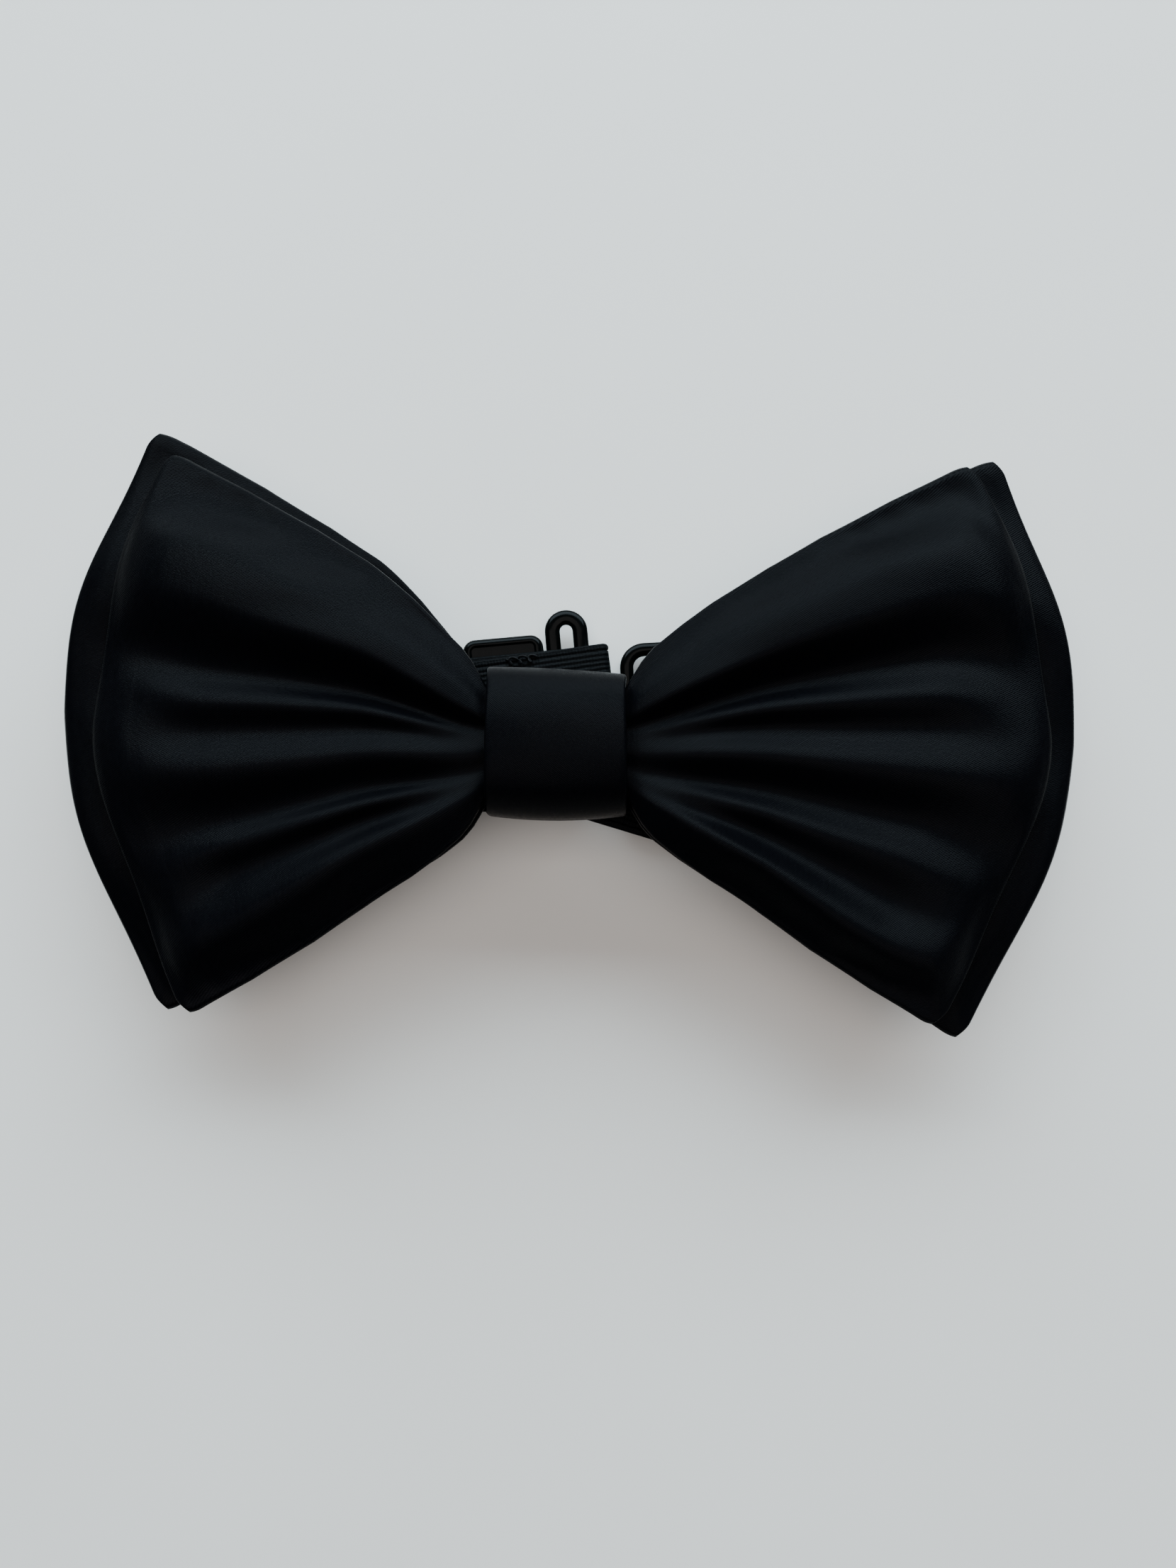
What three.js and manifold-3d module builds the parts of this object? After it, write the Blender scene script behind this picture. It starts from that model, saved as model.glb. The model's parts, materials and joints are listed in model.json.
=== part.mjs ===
// A pre-tied satin bow tie on an adjustable neck strap, lying on its back with the strap folded up behind it.
// Millimetres. +X runs along the bow, +Y points to its upper edge when worn, +Z out of its front.
// Two sewn bows are pinched by a binding thread and held by a knot band. The strap's two halves are stitched
// to the band's flat back. The left half carries the slider and the hook, and the right half the eye.
import * as THREE from "three";
import { mergeVertices } from "three/addons/utils/BufferGeometryUtils.js";
import Module from "manifold-3d";

const wasm = await Module();
wasm.setup();

// ---- driving dimensions ----
const air = 0.25; // gap between neighbouring pieces
const webWidth = 15; // five-eighths of an inch webbing
const webThick = 0.8;
const threadThick = 0.25; // sewing thread
const holeEase = 0.15; // room around a thread on each side

// Heights of the strap's layers, from the table up
const runHeight = 1.35; // left run, under the slider's rails and round the hook's bar
const tailHeight = 3.55; // its return tail
const returnHeight = 0.4; // right return, sewn under the last layer
const seamHeight = 1.6; // the layer that it is sewn to
const layer3 = 5.5;
const layer2 = 6.7;
const layer1Right = 7.9;
const layer1Left = 9.1;

// Where the strap turns, seen from the front
const foldLeft = -50;
const hookPivot = { x: 0, y: 5.1 };
const runSlope = THREE.MathUtils.degToRad(5.2);
const tailLength = 46;
const eyePivot = { x: 18.5, y: 3.5 };
const eyeSlope = THREE.MathUtils.degToRad(3.3);
const eyeLegLength = 31.6;
const returnLength = 18;
const returnStep = { before: 5.5, rise: 1, radius: 3 }; // the last layer lifts to reach the eye's bar
const tackDistance = 9.5; // from the eye's bar to the bar tack

// Moulded hardware
const barRadius = 0.55; // the round bar inside a strap's turn
const rodWidth = 1.75;
const rodThick = 1.1;
const hookSlot = 2;
const hookLength = 24.6;
const hookRise = 1.25; // the ring sits this much above the middle of its strap
const tongueWidth = 8;
const tongueThick = 0.9;
const tongueReach = 5.3;
const tongueZ = 0.15; // the tongue's middle over the ring's
const curlRadius = 1.05;
const lipEnd = 4.9;
const eyeWidth = 11.2;
const eyeLength = 23.2;
const eyeCorner = 3.2;
const sliderWidth = 10.2;
const sliderLength = 20.6;
const sliderHeight = 4.9;
const sliderCorner = 1.6;
const sliderBevel = 0.4;
const sliderCentre = -6.4; // along the run, from the hook's bar
const passageWidth = webWidth + 0.7;
const floorThick = 0.8; // slider's centre bar, and its rails
const centreBarWidth = 2.6;
const railGap = 5.2; // between the two rails

// Knot band, with a flat back and a crowned front
const knotLength = 16.2;
const knotHalfHeight = 8.35;
const knotBack = 9.8;
const knotWall = 0.7;
const knotCrown = 0.5; // how much the band's middle stands out over its side edges
const knotFrontRadius = 3.6;
const knotBackRadius = 1.6;
const liningWall = 0.5;
const seamRoom = 0.45; // inside the band's back wall, for the stitches
const bindingThick = 0.6;
const bindingTurns = 3;
const bindingPitch = 1.3;
const bindingCorner = 1.1;
const knotCentreY = -0.4;

// Bows
const waistHalfHeight = 5.9;
const waistBowThick = 3.65;
const coverWall = 0.6;
const slitLength = 7; // turning slit in each cover's back, under the knot
const slitWidth = 1.6;
const rimHalfThick = 1.15;
const wingHalfThick = 2.2;
// Half height of a wing against distance from the middle, as far as its corner
const wingEdge = [
  [0, waistHalfHeight],
  [7.7, waistHalfHeight],
  [9.2, 8.8],
  [11, 11.2],
  [17, 16.6],
  [29, 24.9],
  [45.6, 33.1],
];
// Each bow: distance to its corners, bulge and skew of its ends, tilt in degrees and shift of its wings, and
// height of its wings' middle
const frontBow = { corner: 45.6, bulge: 10.2, skew: 2.9, tilt: -0.9, shiftX: 1, shiftY: 1.1, wingZ: 17.1 };
const backBow = { corner: 49.2, bulge: 11.4, skew: 2.5, tilt: -2, shiftX: 1.3, shiftY: 2, wingZ: 12.3 };
const endPower = 1.6; // 2 would make the ends round, and 1 pointed
const waistRows = [7.7, 8.5, 9.2, 11, 14, 17]; // distances from the middle where the waist opens into a wing
const tiltedFrom = 24; // distance from the middle where a wing's tilt and shift are complete
const wingRows = 8;
const bowColumns = 10;

// Heights inside the knot, worked out from the back wall up
const liningBack = knotBack + knotWall + seamRoom;
const bindingBack = liningBack + liningWall + air;
const backWaistLow = bindingBack + bindingThick + air;
const frontWaistLow = backWaistLow + waistBowThick + 0.3;
const bindingFront = frontWaistLow + waistBowThick + air;
const liningFront = bindingFront + bindingThick + air + liningWall;
const knotFront = liningFront + air + knotWall;
const backMiddle = backWaistLow + waistBowThick / 2;
const frontMiddle = frontWaistLow + waistBowThick / 2;

// ---- materials ----
const satin = new THREE.MeshStandardMaterial({ color: 0x0b0d13, roughness: 0.38, metalness: 0 });
const interlining = new THREE.MeshStandardMaterial({ color: 0x35353a, roughness: 0.95, metalness: 0 });
const webbing = new THREE.MeshStandardMaterial({ color: 0x0c0d10, roughness: 0.7, metalness: 0 });
const thread = new THREE.MeshStandardMaterial({ color: 0x121216, roughness: 0.6, metalness: 0 });
const plastic = new THREE.MeshStandardMaterial({ color: 0x060607, roughness: 0.18, metalness: 0 });

// ---- shape helpers ----
function signedVolume(points, faces) {
  const cross = new THREE.Vector3();
  const volumes = faces.map(([a, b, c]) => points[a].dot(cross.crossVectors(points[b], points[c])) / 6);
  return volumes.reduce((sum, volume) => sum + volume, 0);
}

// A closed solid through rings of points. Open ends are closed by strips between a ring's two halves.
function loft(rings, closed = false) {
  const size = rings[0].length;
  const points = rings.flat();
  const faces = [];
  const quad = (a, b, c, d) => faces.push([a, b, c], [a, c, d]);
  const spans = closed ? rings.length : rings.length - 1;
  for (let row = 0; row < spans; row++) {
    const here = row * size;
    const next = ((row + 1) % rings.length) * size;
    for (let i = 0; i < size; i++) {
      const j = (i + 1) % size;
      quad(here + i, here + j, next + j, next + i);
    }
  }
  if (!closed) {
    const last = (rings.length - 1) * size;
    for (let i = 0; i < size / 2 - 1; i++) {
      quad(i + 1, i, size - 1 - i, size - 2 - i);
      quad(last + i, last + i + 1, last + size - 2 - i, last + size - 1 - i);
    }
  }
  const outward = signedVolume(points, faces) > 0 ? faces : faces.map(([a, b, c]) => [a, c, b]);
  const geometry = new THREE.BufferGeometry().setFromPoints(points);
  geometry.setIndex(outward.flat());
  return geometry;
}

function solid(geometry) {
  const bare = geometry.clone();
  bare.deleteAttribute("normal");
  bare.deleteAttribute("uv");
  const merged = mergeVertices(bare, 1e-4);
  const vertProperties = new Float32Array(merged.attributes.position.array);
  const triVerts = new Uint32Array(merged.index.array);
  return new wasm.Manifold(new wasm.Mesh({ numProp: 3, vertProperties, triVerts }));
}

function geometryOf(body) {
  const mesh = body.getMesh();
  const geometry = new THREE.BufferGeometry();
  geometry.setAttribute("position", new THREE.BufferAttribute(mesh.vertProperties, 3));
  geometry.setIndex(new THREE.BufferAttribute(mesh.triVerts, 1));
  return geometry;
}

function block(lowX, highX, lowY, highY, lowZ, highZ) {
  const box = new THREE.BoxGeometry(highX - lowX, highY - lowY, highZ - lowZ);
  return solid(box.translate((lowX + highX) / 2, (lowY + highY) / 2, (lowZ + highZ) / 2));
}

function piece(name, geometry, material) {
  geometry.computeVertexNormals();
  const mesh = new THREE.Mesh(geometry, material);
  mesh.name = name;
  return mesh;
}

function interpolate(table, at) {
  const next = Math.max(1, table.findIndex(([x]) => x >= at));
  const [x0, y0] = table[next - 1];
  const [x1, y1] = table[next];
  return y0 + ((y1 - y0) * (at - x0)) / (x1 - x0);
}

// ---- webbing that is laid flat, then folded ----
// Moves a point of the flat strip through one bend: "distance" is how far along the flat strip it lies past
// the fold line, which crosses the strip at "at" and leans by "skew". "side" is the way the strip curls.
function bendPoint(point, distance, { at, skew, radius, angle, side }) {
  if (distance <= 0) return;
  const turn = Math.min(distance / radius, angle);
  const [cos, sin] = [Math.cos(skew), Math.sin(skew)];
  const past = (point.x - at) * cos - point.y * sin - radius * turn;
  const along = (point.x - at) * sin + point.y * cos;
  const reach = radius - side * point.z;
  const forward = reach * Math.sin(turn) + past * Math.cos(turn);
  const height = side * (radius - reach * Math.cos(turn) + past * Math.sin(turn));
  point.set(at + forward * cos + along * sin, along * cos - forward * sin, height);
}

// Each leg of a course {x, y, z, step} starts at its first point and runs to the next, at the height z of the
// point that it ends at. A leg's "step" lifts it shortly before that end. A leaning fold shifts the strip
// sideways along the fold line, so the headings and the shifts are settled together in a few passes.
function foldsOf(course) {
  const folds = course.slice(1, -1).map((point, i) => {
    const height = point.z + (point.step ? point.step.rise : 0);
    return { drop: course[i + 2].z - height, flips: i % 2 ? -1 : 1, skew: 0, shiftX: 0, shiftY: 0 };
  });
  const headingOf = (i) => {
    const { shiftX = 0, shiftY = 0 } = folds[i] ?? {};
    return Math.atan2(course[i + 1].y - shiftY - course[i].y, course[i + 1].x - shiftX - course[i].x);
  };
  for (let pass = 0; pass < 8; pass++) {
    folds.forEach((fold, i) => {
      const heading = headingOf(i);
      const turned = heading + Math.PI - headingOf(i + 1);
      fold.skew = (fold.flips * Math.atan2(Math.sin(turned), Math.cos(turned))) / 2;
      const shift = ((Math.PI * Math.abs(fold.drop)) / 2) * Math.tan(fold.skew);
      const lineAngle = heading + fold.flips * (Math.PI / 2 - fold.skew);
      fold.shiftX = shift * Math.cos(lineAngle);
      fold.shiftY = shift * Math.sin(lineAngle);
    });
  }
  return { folds, heading: headingOf(0) };
}

function bendsOf(course) {
  const bends = [];
  const { folds, heading } = foldsOf(course);
  let flat = 0;
  for (let i = 1; i < course.length; i++) {
    const { shiftX = 0, shiftY = 0, flips, drop, skew } = folds[i - 1] ?? {};
    const leg = Math.hypot(course[i].x - shiftX - course[i - 1].x, course[i].y - shiftY - course[i - 1].y);
    if (course[i].step) {
      const { before, rise, radius } = course[i].step;
      const angle = Math.acos(1 - rise / (2 * radius));
      const start = flat + leg - before;
      bends.push({ at: start, skew: 0, radius, angle, side: flips });
      bends.push({ at: start + radius * angle, skew: 0, radius, angle, side: -flips });
      flat += 2 * radius * (angle - Math.sin(angle));
    }
    flat += leg;
    if (!folds[i - 1]) break;
    const radius = Math.abs(drop) / 2;
    bends.push({ at: flat, skew, radius, angle: Math.PI, side: flips * Math.sign(drop) });
    flat += (Math.PI * radius) / Math.cos(skew);
  }
  return { bends, length: flat, heading };
}

function strapPoint(course, { bends, heading }, along, across, above) {
  const point = new THREE.Vector3(along, across, above);
  for (const bend of [...bends].reverse()) {
    const distance = (along - bend.at) * Math.cos(bend.skew) - across * Math.sin(bend.skew);
    bendPoint(point, distance, bend);
  }
  point.applyAxisAngle(new THREE.Vector3(0, 0, 1), heading);
  return point.add(new THREE.Vector3(course[0].x, course[0].y, course[1].z));
}

const sectionCorners = [[-1, -1], [1, -1], [1, 1], [-1, 1]];

function strapSolid(course, stepsPerTurn = 10) {
  const laid = bendsOf(course);
  const stations = [() => 0];
  for (const { at, skew, radius, angle } of laid.bends) {
    const steps = Math.max(3, Math.round((stepsPerTurn * angle) / Math.PI));
    for (let i = 0; i <= steps; i++) {
      const turned = (radius * angle * i) / steps;
      stations.push((across) => at + (turned + across * Math.sin(skew)) / Math.cos(skew));
    }
  }
  stations.push(() => laid.length);
  const rings = stations.map((station) =>
    sectionCorners.map(([side, face]) => {
      const across = (side * webWidth) / 2;
      return strapPoint(course, laid, station(across), across, (face * webThick) / 2);
    }),
  );
  return solid(loft(rings));
}

function pointAlong(from, slope, distance) {
  return { x: from.x + Math.cos(slope) * distance, y: from.y + Math.sin(slope) * distance };
}

const runDistance = (foldLeft - hookPivot.x) / Math.cos(runSlope);
const leftCourse = [
  { x: 6, y: 0.5 },
  { x: foldLeft, y: -2, z: layer1Left },
  { x: 6, y: 6, z: layer2 },
  { ...pointAlong(hookPivot, runSlope, runDistance), z: layer3 },
  { ...hookPivot, z: runHeight },
  { ...pointAlong(hookPivot, runSlope, -tailLength), z: tailHeight },
];
const rightCourse = [
  { x: -6, y: 2.1 },
  { x: 48, y: -14.2, z: layer1Right },
  { x: 16, y: 1, z: layer2 },
  { ...pointAlong(eyePivot, eyeSlope, eyeLegLength), z: layer3 },
  { ...eyePivot, z: seamHeight, step: returnStep },
  { ...pointAlong(eyePivot, eyeSlope, returnLength), z: returnHeight },
];

// ---- stitches: a rail of thread on each face, joined by legs through the layers ----
function stitchRow({ length, legs, lowZ, highZ, spread = 0 }) {
  const half = threadThick / 2 + spread;
  const end = length / 2;
  let row = block(-end, end, -half, half, lowZ - spread, lowZ + threadThick + spread);
  row = row.add(block(-end, end, -half, half, highZ - threadThick - spread, highZ + spread));
  for (let i = 0; i < legs; i++) {
    const x = -end + half + ((length - 2 * half) * i) / (legs - 1);
    row = row.add(block(x - half, x + half, -half, half, lowZ, highZ));
  }
  return row;
}

function placed(body, { x, y }, slope) {
  const matrix = new THREE.Matrix4().makeRotationZ(slope).setPosition(x, y, 0);
  return body.transform(matrix.elements);
}

const quarterTurn = Math.PI / 2;
const sunk = 0.05; // how deep a rail of thread pulls into the webbing
const knotSeamTop = knotBack + knotWall + 0.3; // rails inside the band, over its back wall
const seams = {
  strap: {
    length: 8,
    legs: 6,
    lowZ: layer1Right - webThick / 2 - sunk,
    highZ: knotSeamTop,
    at: { x: 0, y: -1 },
    slope: 0,
  },
  closing: {
    length: 12,
    legs: 9,
    lowZ: knotBack + sunk / 2,
    highZ: knotSeamTop,
    at: { x: 0, y: 3.2 },
    slope: 0,
  },
  tack: {
    length: 11,
    legs: 8,
    lowZ: sunk,
    highZ: seamHeight + webThick / 2 + 2 * sunk,
    at: pointAlong(eyePivot, eyeSlope, tackDistance),
    slope: eyeSlope + quarterTurn,
  },
  tail: {
    length: 10,
    legs: 7,
    lowZ: tailHeight - webThick / 2 + sunk,
    highZ: tailHeight + webThick / 2 - sunk,
    at: pointAlong(hookPivot, runSlope, -tailLength + 2),
    slope: runSlope + quarterTurn,
  },
};

// The thread of a seam, or the room that it needs when "spread" is added all round
function seamSolid(seam, spread = 0) {
  return placed(stitchRow({ ...seam, spread }), seam.at, seam.slope);
}

function neckStrap(course, ownSeam) {
  return strapSolid(course).subtract(seamSolid(seams.strap, holeEase)).subtract(seamSolid(ownSeam, holeEase));
}

// ---- bows ----
// A point of a bow: "station" is the signed distance along its edge, and "v" runs from lower to upper edge.
function bowPoint(bow, station, v, inset) {
  const edgeX = Math.abs(station);
  const endShare = (edgeX / bow.corner) ** 3;
  const reach = bow.bulge * (1 - Math.abs(v) ** endPower) + bow.skew * v - inset;
  const x = Math.sign(station) * (edgeX + endShare * reach);
  const halfHeight = interpolate(wingEdge, Math.min(edgeX, wingEdge.at(-1)[0])) - inset;
  const wingShare = THREE.MathUtils.smoothstep(edgeX, waistRows[0], tiltedFrom);
  const turn = THREE.MathUtils.degToRad(bow.tilt) * wingShare;
  const y = v * halfHeight;
  return {
    x: x * Math.cos(turn) - y * Math.sin(turn) + bow.shiftX * wingShare,
    y: x * Math.sin(turn) + y * Math.cos(turn) + bow.shiftY * wingShare + knotCentreY * (1 - wingShare),
    wingShare,
  };
}

function bowStations(bow) {
  const opened = waistRows.at(-1);
  const spacing = (bow.corner - opened) / wingRows;
  const wing = Array.from({ length: wingRows }, (_, i) => opened + spacing * (i + 1));
  const half = [...waistRows, ...wing];
  return [...half.map((distance) => -distance).reverse(), 0, ...half];
}

function bowSolid(bow, waistMiddle, inset) {
  const rings = [];
  for (const station of bowStations(bow)) {
    const lower = [];
    const upper = [];
    for (let column = 0; column <= bowColumns; column++) {
      const v = (2 * column) / bowColumns - 1;
      const { x, y, wingShare } = bowPoint(bow, station, v, inset);
      const middle = THREE.MathUtils.lerp(waistMiddle, bow.wingZ, wingShare);
      const crown = THREE.MathUtils.lerp(waistBowThick / 2, wingHalfThick, wingShare);
      const half = rimHalfThick + (crown - rimHalfThick) * (1 - v ** 4) - inset;
      lower.push(new THREE.Vector3(x, y, middle - half));
      upper.unshift(new THREE.Vector3(x, y, middle + half));
    }
    rings.push([...lower, ...upper]);
  }
  return solid(loft(rings));
}

// The cover is the sewn satin with a turning slit in its back, under the knot
function bowCover(bow, waistMiddle) {
  const [halfLength, halfWidth] = [slitLength / 2, slitWidth / 2];
  const [lowY, highY] = [knotCentreY - halfWidth, knotCentreY + halfWidth];
  const slit = block(-halfLength, halfLength, lowY, highY, waistMiddle - waistBowThick, waistMiddle);
  return bowSolid(bow, waistMiddle, 0).subtract(bowSolid(bow, waistMiddle, coverWall)).subtract(slit);
}

function bowInterlining(bow, waistMiddle) {
  return bowSolid(bow, waistMiddle, coverWall + 0.3);
}

// ---- knot ----
function roundedRing(x, halfHeight, lowZ, highZ, lowRadius, highRadius, steps = 4) {
  const ring = [];
  const corner = (y, z, radius, startAngle) => {
    for (let i = 0; i <= steps; i++) {
      const angle = startAngle + (quarterTurn * i) / steps;
      ring.push(new THREE.Vector3(x, y + radius * Math.cos(angle), z + radius * Math.sin(angle)));
    }
  };
  const low = halfHeight - lowRadius;
  const high = halfHeight - highRadius;
  corner(-low, lowZ + lowRadius, lowRadius, Math.PI);
  corner(low, lowZ + lowRadius, lowRadius, 3 * quarterTurn);
  corner(high, highZ - highRadius, highRadius, 0);
  corner(-high, highZ - highRadius, highRadius, quarterTurn);
  return ring.map((point) => point.setY(point.y + knotCentreY));
}

// A tube of rounded section round the waists, inset from the band's outside by "depth". Its middle stands out
// over its ends by the band's crown.
function knotTube(length, depth, lowZ, highZ) {
  const stations = 8;
  const frontRadius = knotFrontRadius - depth;
  const rings = [];
  for (let i = 0; i <= stations; i++) {
    const share = (2 * i) / stations - 1;
    const swell = knotCrown * (1 - share * share);
    const halfHeight = knotHalfHeight - depth + swell * 0.4;
    const top = highZ - knotCrown + swell;
    rings.push(roundedRing((share * length) / 2, halfHeight, lowZ, top, knotBackRadius, frontRadius));
  }
  return solid(loft(rings));
}

function knotBand() {
  const outer = knotTube(knotLength, 0, knotBack, knotFront);
  const hollow = knotTube(knotLength + 1, knotWall, knotBack + knotWall, knotFront - knotWall);
  return outer
    .subtract(hollow)
    .subtract(seamSolid(seams.closing, holeEase))
    .subtract(seamSolid(seams.strap, holeEase));
}

function knotBandInterlining() {
  const length = knotLength - 1.2;
  const depth = knotWall + air;
  const outer = knotTube(length, depth, liningBack, liningFront);
  const innerBack = liningBack + liningWall;
  const hollow = knotTube(length + 1, depth + liningWall, innerBack, liningFront - liningWall);
  return outer.subtract(hollow);
}

// Binding thread: a short open coil pulled tight over both waists
function waistBinding() {
  const radius = bindingThick / 2;
  const halfY = waistHalfHeight + air + radius;
  const lowZ = bindingBack + radius;
  const highZ = bindingFront + radius;
  const perTurn = 20;
  const rings = [];
  const outline = roundedRing(0, halfY, lowZ, highZ, bindingCorner, bindingCorner, perTurn / 4 - 1);
  for (let i = 0; i <= bindingTurns * perTurn; i++) {
    const here = outline[i % perTurn];
    const middle = new THREE.Vector3(0, knotCentreY, (lowZ + highZ) / 2);
    const outward = here.clone().sub(middle).normalize();
    const x = bindingPitch * (i / perTurn - bindingTurns / 2);
    const section = [];
    for (let k = 0; k < 8; k++) {
      const angle = (Math.PI * (k + 0.5)) / 4;
      const away = outward.clone().multiplyScalar(radius * Math.cos(angle));
      section.push(new THREE.Vector3(x + radius * Math.sin(angle), 0, 0).add(here).add(away));
    }
    rings.push(section);
  }
  return solid(loft(rings));
}

// ---- moulded hardware, each in its own frame with its pivot bar at the origin ----
// A flat ring of rod around a rounded rectangle. Its pivot bar, at x = 0, is a thin round bar.
function rodRing(width, length, corner, shiftY) {
  const half = rodWidth / 2;
  const [insideX, insideY] = [width - rodWidth, length - rodWidth];
  const bend = Math.min(corner - half, insideX / 2);
  const middle = [];
  const cornerAt = (x, y, startAngle) => {
    for (let i = 0; i <= 5; i++) {
      const angle = startAngle + (quarterTurn * i) / 5;
      middle.push({ x: x + bend * Math.cos(angle), y: y + bend * Math.sin(angle), angle, half });
    }
  };
  cornerAt(insideX - bend, insideY / 2 - bend, 0);
  cornerAt(bend, insideY / 2 - bend, quarterTurn);
  const barEnd = webWidth / 2 + 0.3;
  const barPoint = (y, barHalf) => ({ x: 0, y: y - shiftY, angle: Math.PI, half: barHalf });
  middle.push(barPoint(barEnd + 0.4, half), barPoint(barEnd, barRadius));
  middle.push(barPoint(-barEnd, barRadius), barPoint(-barEnd - 0.4, half));
  cornerAt(bend, bend - insideY / 2, Math.PI);
  cornerAt(insideX - bend, bend - insideY / 2, 3 * quarterTurn);
  const rings = middle.map(({ x, y, angle, half: halfWidth }) => {
    const section = [];
    for (let k = 0; k < 10; k++) {
      const around = (Math.PI * (k + 0.5)) / 5;
      const outward = halfWidth * Math.cos(around);
      const at = [x + outward * Math.cos(angle), y + shiftY + outward * Math.sin(angle)];
      section.push(new THREE.Vector3(...at, (rodThick / 2) * Math.sin(around)));
    }
    return section;
  });
  return solid(loft(rings, true));
}

// The hook's tongue: a flat bar that curls under itself
function hookTongue(barX) {
  const curlZ = tongueZ - curlRadius;
  const path = [[barX, tongueZ], [tongueReach, tongueZ]];
  for (let i = 1; i <= 8; i++) {
    const angle = quarterTurn - (Math.PI * i) / 8;
    path.push([tongueReach + curlRadius * Math.cos(angle), curlZ + curlRadius * Math.sin(angle)]);
  }
  path.push([lipEnd, curlZ - curlRadius]);
  const rings = path.map(([x, z], i) => {
    const [x0, z0] = path[Math.max(0, i - 1)];
    const [x1, z1] = path[Math.min(path.length - 1, i + 1)];
    const size = Math.hypot(x1 - x0, z1 - z0);
    const normal = [(-(z1 - z0) / size) * (tongueThick / 2), ((x1 - x0) / size) * (tongueThick / 2)];
    return sectionCorners.map(([sideY, face]) => {
      const y = hookRise + (sideY * tongueWidth) / 2;
      return new THREE.Vector3(x + face * normal[0], y, z + face * normal[1]);
    });
  });
  return solid(loft(rings));
}

function hookSolid() {
  const width = hookSlot + 2 * rodWidth;
  return rodRing(width, hookLength, width / 2, hookRise).add(hookTongue(width - rodWidth));
}

function eyeSolid() {
  const mirror = new THREE.Matrix4().makeRotationZ(Math.PI);
  return rodRing(eyeWidth, eyeLength, eyeCorner, 0).transform(mirror.elements);
}

function roundedRectangle(width, length, corner) {
  const [x, y] = [width / 2, length / 2];
  const shape = new THREE.Shape();
  shape.moveTo(-x + corner, -y);
  shape.lineTo(x - corner, -y);
  shape.absarc(x - corner, -y + corner, corner, -quarterTurn, 0);
  shape.lineTo(x, y - corner);
  shape.absarc(x - corner, y - corner, corner, 0, quarterTurn);
  shape.lineTo(-x + corner, y);
  shape.absarc(-x + corner, y - corner, corner, quarterTurn, Math.PI);
  shape.lineTo(-x, -y + corner);
  shape.absarc(-x + corner, -y + corner, corner, Math.PI, 3 * quarterTurn);
  return shape;
}

// Slider: two end walls, a centre bar under the webbing, and a rail over it on each side
function sliderSolid() {
  const bevels = 2 * sliderBevel;
  const outline = roundedRectangle(sliderWidth - bevels, sliderLength - bevels, sliderCorner);
  const body = new THREE.ExtrudeGeometry(outline, {
    depth: sliderHeight - bevels,
    bevelThickness: sliderBevel,
    bevelSize: sliderBevel,
    bevelSegments: 2,
    curveSegments: 5,
  });
  const half = passageWidth / 2;
  const top = sliderHeight - floorThick;
  const far = sliderWidth;
  return solid(body.translate(0, 0, sliderBevel))
    .subtract(block(-far, far, -half, half, floorThick, top))
    .subtract(block(-far, -centreBarWidth / 2, -half, half, -1, floorThick + 0.1))
    .subtract(block(centreBarWidth / 2, far, -half, half, -1, floorThick + 0.1))
    .subtract(block(-railGap / 2, railGap / 2, -half, half, top - 0.1, sliderHeight + 1));
}

// ---- assembly ----
const hardwareLeft = new THREE.Group();
hardwareLeft.position.set(hookPivot.x, hookPivot.y, 0);
hardwareLeft.rotation.z = runSlope;
const hook = piece("hook", geometryOf(hookSolid()), plastic);
hook.position.z = (runHeight + tailHeight) / 2;
const slider = piece("slider", geometryOf(sliderSolid()), plastic);
slider.position.x = sliderCentre;
hardwareLeft.add(hook, slider);

const hardwareRight = new THREE.Group();
hardwareRight.position.set(eyePivot.x, eyePivot.y, 0);
hardwareRight.rotation.z = eyeSlope;
const eye = piece("eye", geometryOf(eyeSolid()), plastic);
eye.position.z = (returnHeight + seamHeight + returnStep.rise) / 2;
hardwareRight.add(eye);

const tie = new THREE.Group();
tie.add(
  piece("front_bow_cover", geometryOf(bowCover(frontBow, frontMiddle)), satin),
  piece("front_bow_interlining", geometryOf(bowInterlining(frontBow, frontMiddle)), interlining),
  piece("back_bow_cover", geometryOf(bowCover(backBow, backMiddle)), satin),
  piece("back_bow_interlining", geometryOf(bowInterlining(backBow, backMiddle)), interlining),
  piece("waist_binding_thread", geometryOf(waistBinding()), thread),
  piece("knot_band", geometryOf(knotBand()), satin),
  piece("knot_band_interlining", geometryOf(knotBandInterlining()), interlining),
  piece("knot_closing_stitches", geometryOf(seamSolid(seams.closing)), thread),
  piece("strap_to_knot_stitches", geometryOf(seamSolid(seams.strap)), thread),
  piece("neck_strap_left", geometryOf(neckStrap(leftCourse, seams.tail)), webbing),
  piece("neck_strap_right", geometryOf(neckStrap(rightCourse, seams.tack)), webbing),
  piece("strap_tail_stitches", geometryOf(seamSolid(seams.tail)), thread),
  piece("eye_bar_tack", geometryOf(seamSolid(seams.tack)), thread),
  hardwareLeft,
  hardwareRight,
);

// The part's origin is at the middle of its underside
const whole = new THREE.Group();
whole.add(tie);
const extent = new THREE.Box3().setFromObject(whole);
const centre = extent.getCenter(new THREE.Vector3());
tie.position.set(-centre.x, -centre.y, -extent.min.z);

export default whole;
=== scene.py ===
"""The looks of a black satin bow tie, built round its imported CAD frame.

In metres. +X runs along the bow, +Z is out of its front, and the tie lies on its back.
"""
import json
import math

import bpy
import numpy as np
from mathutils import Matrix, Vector, noise


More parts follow.
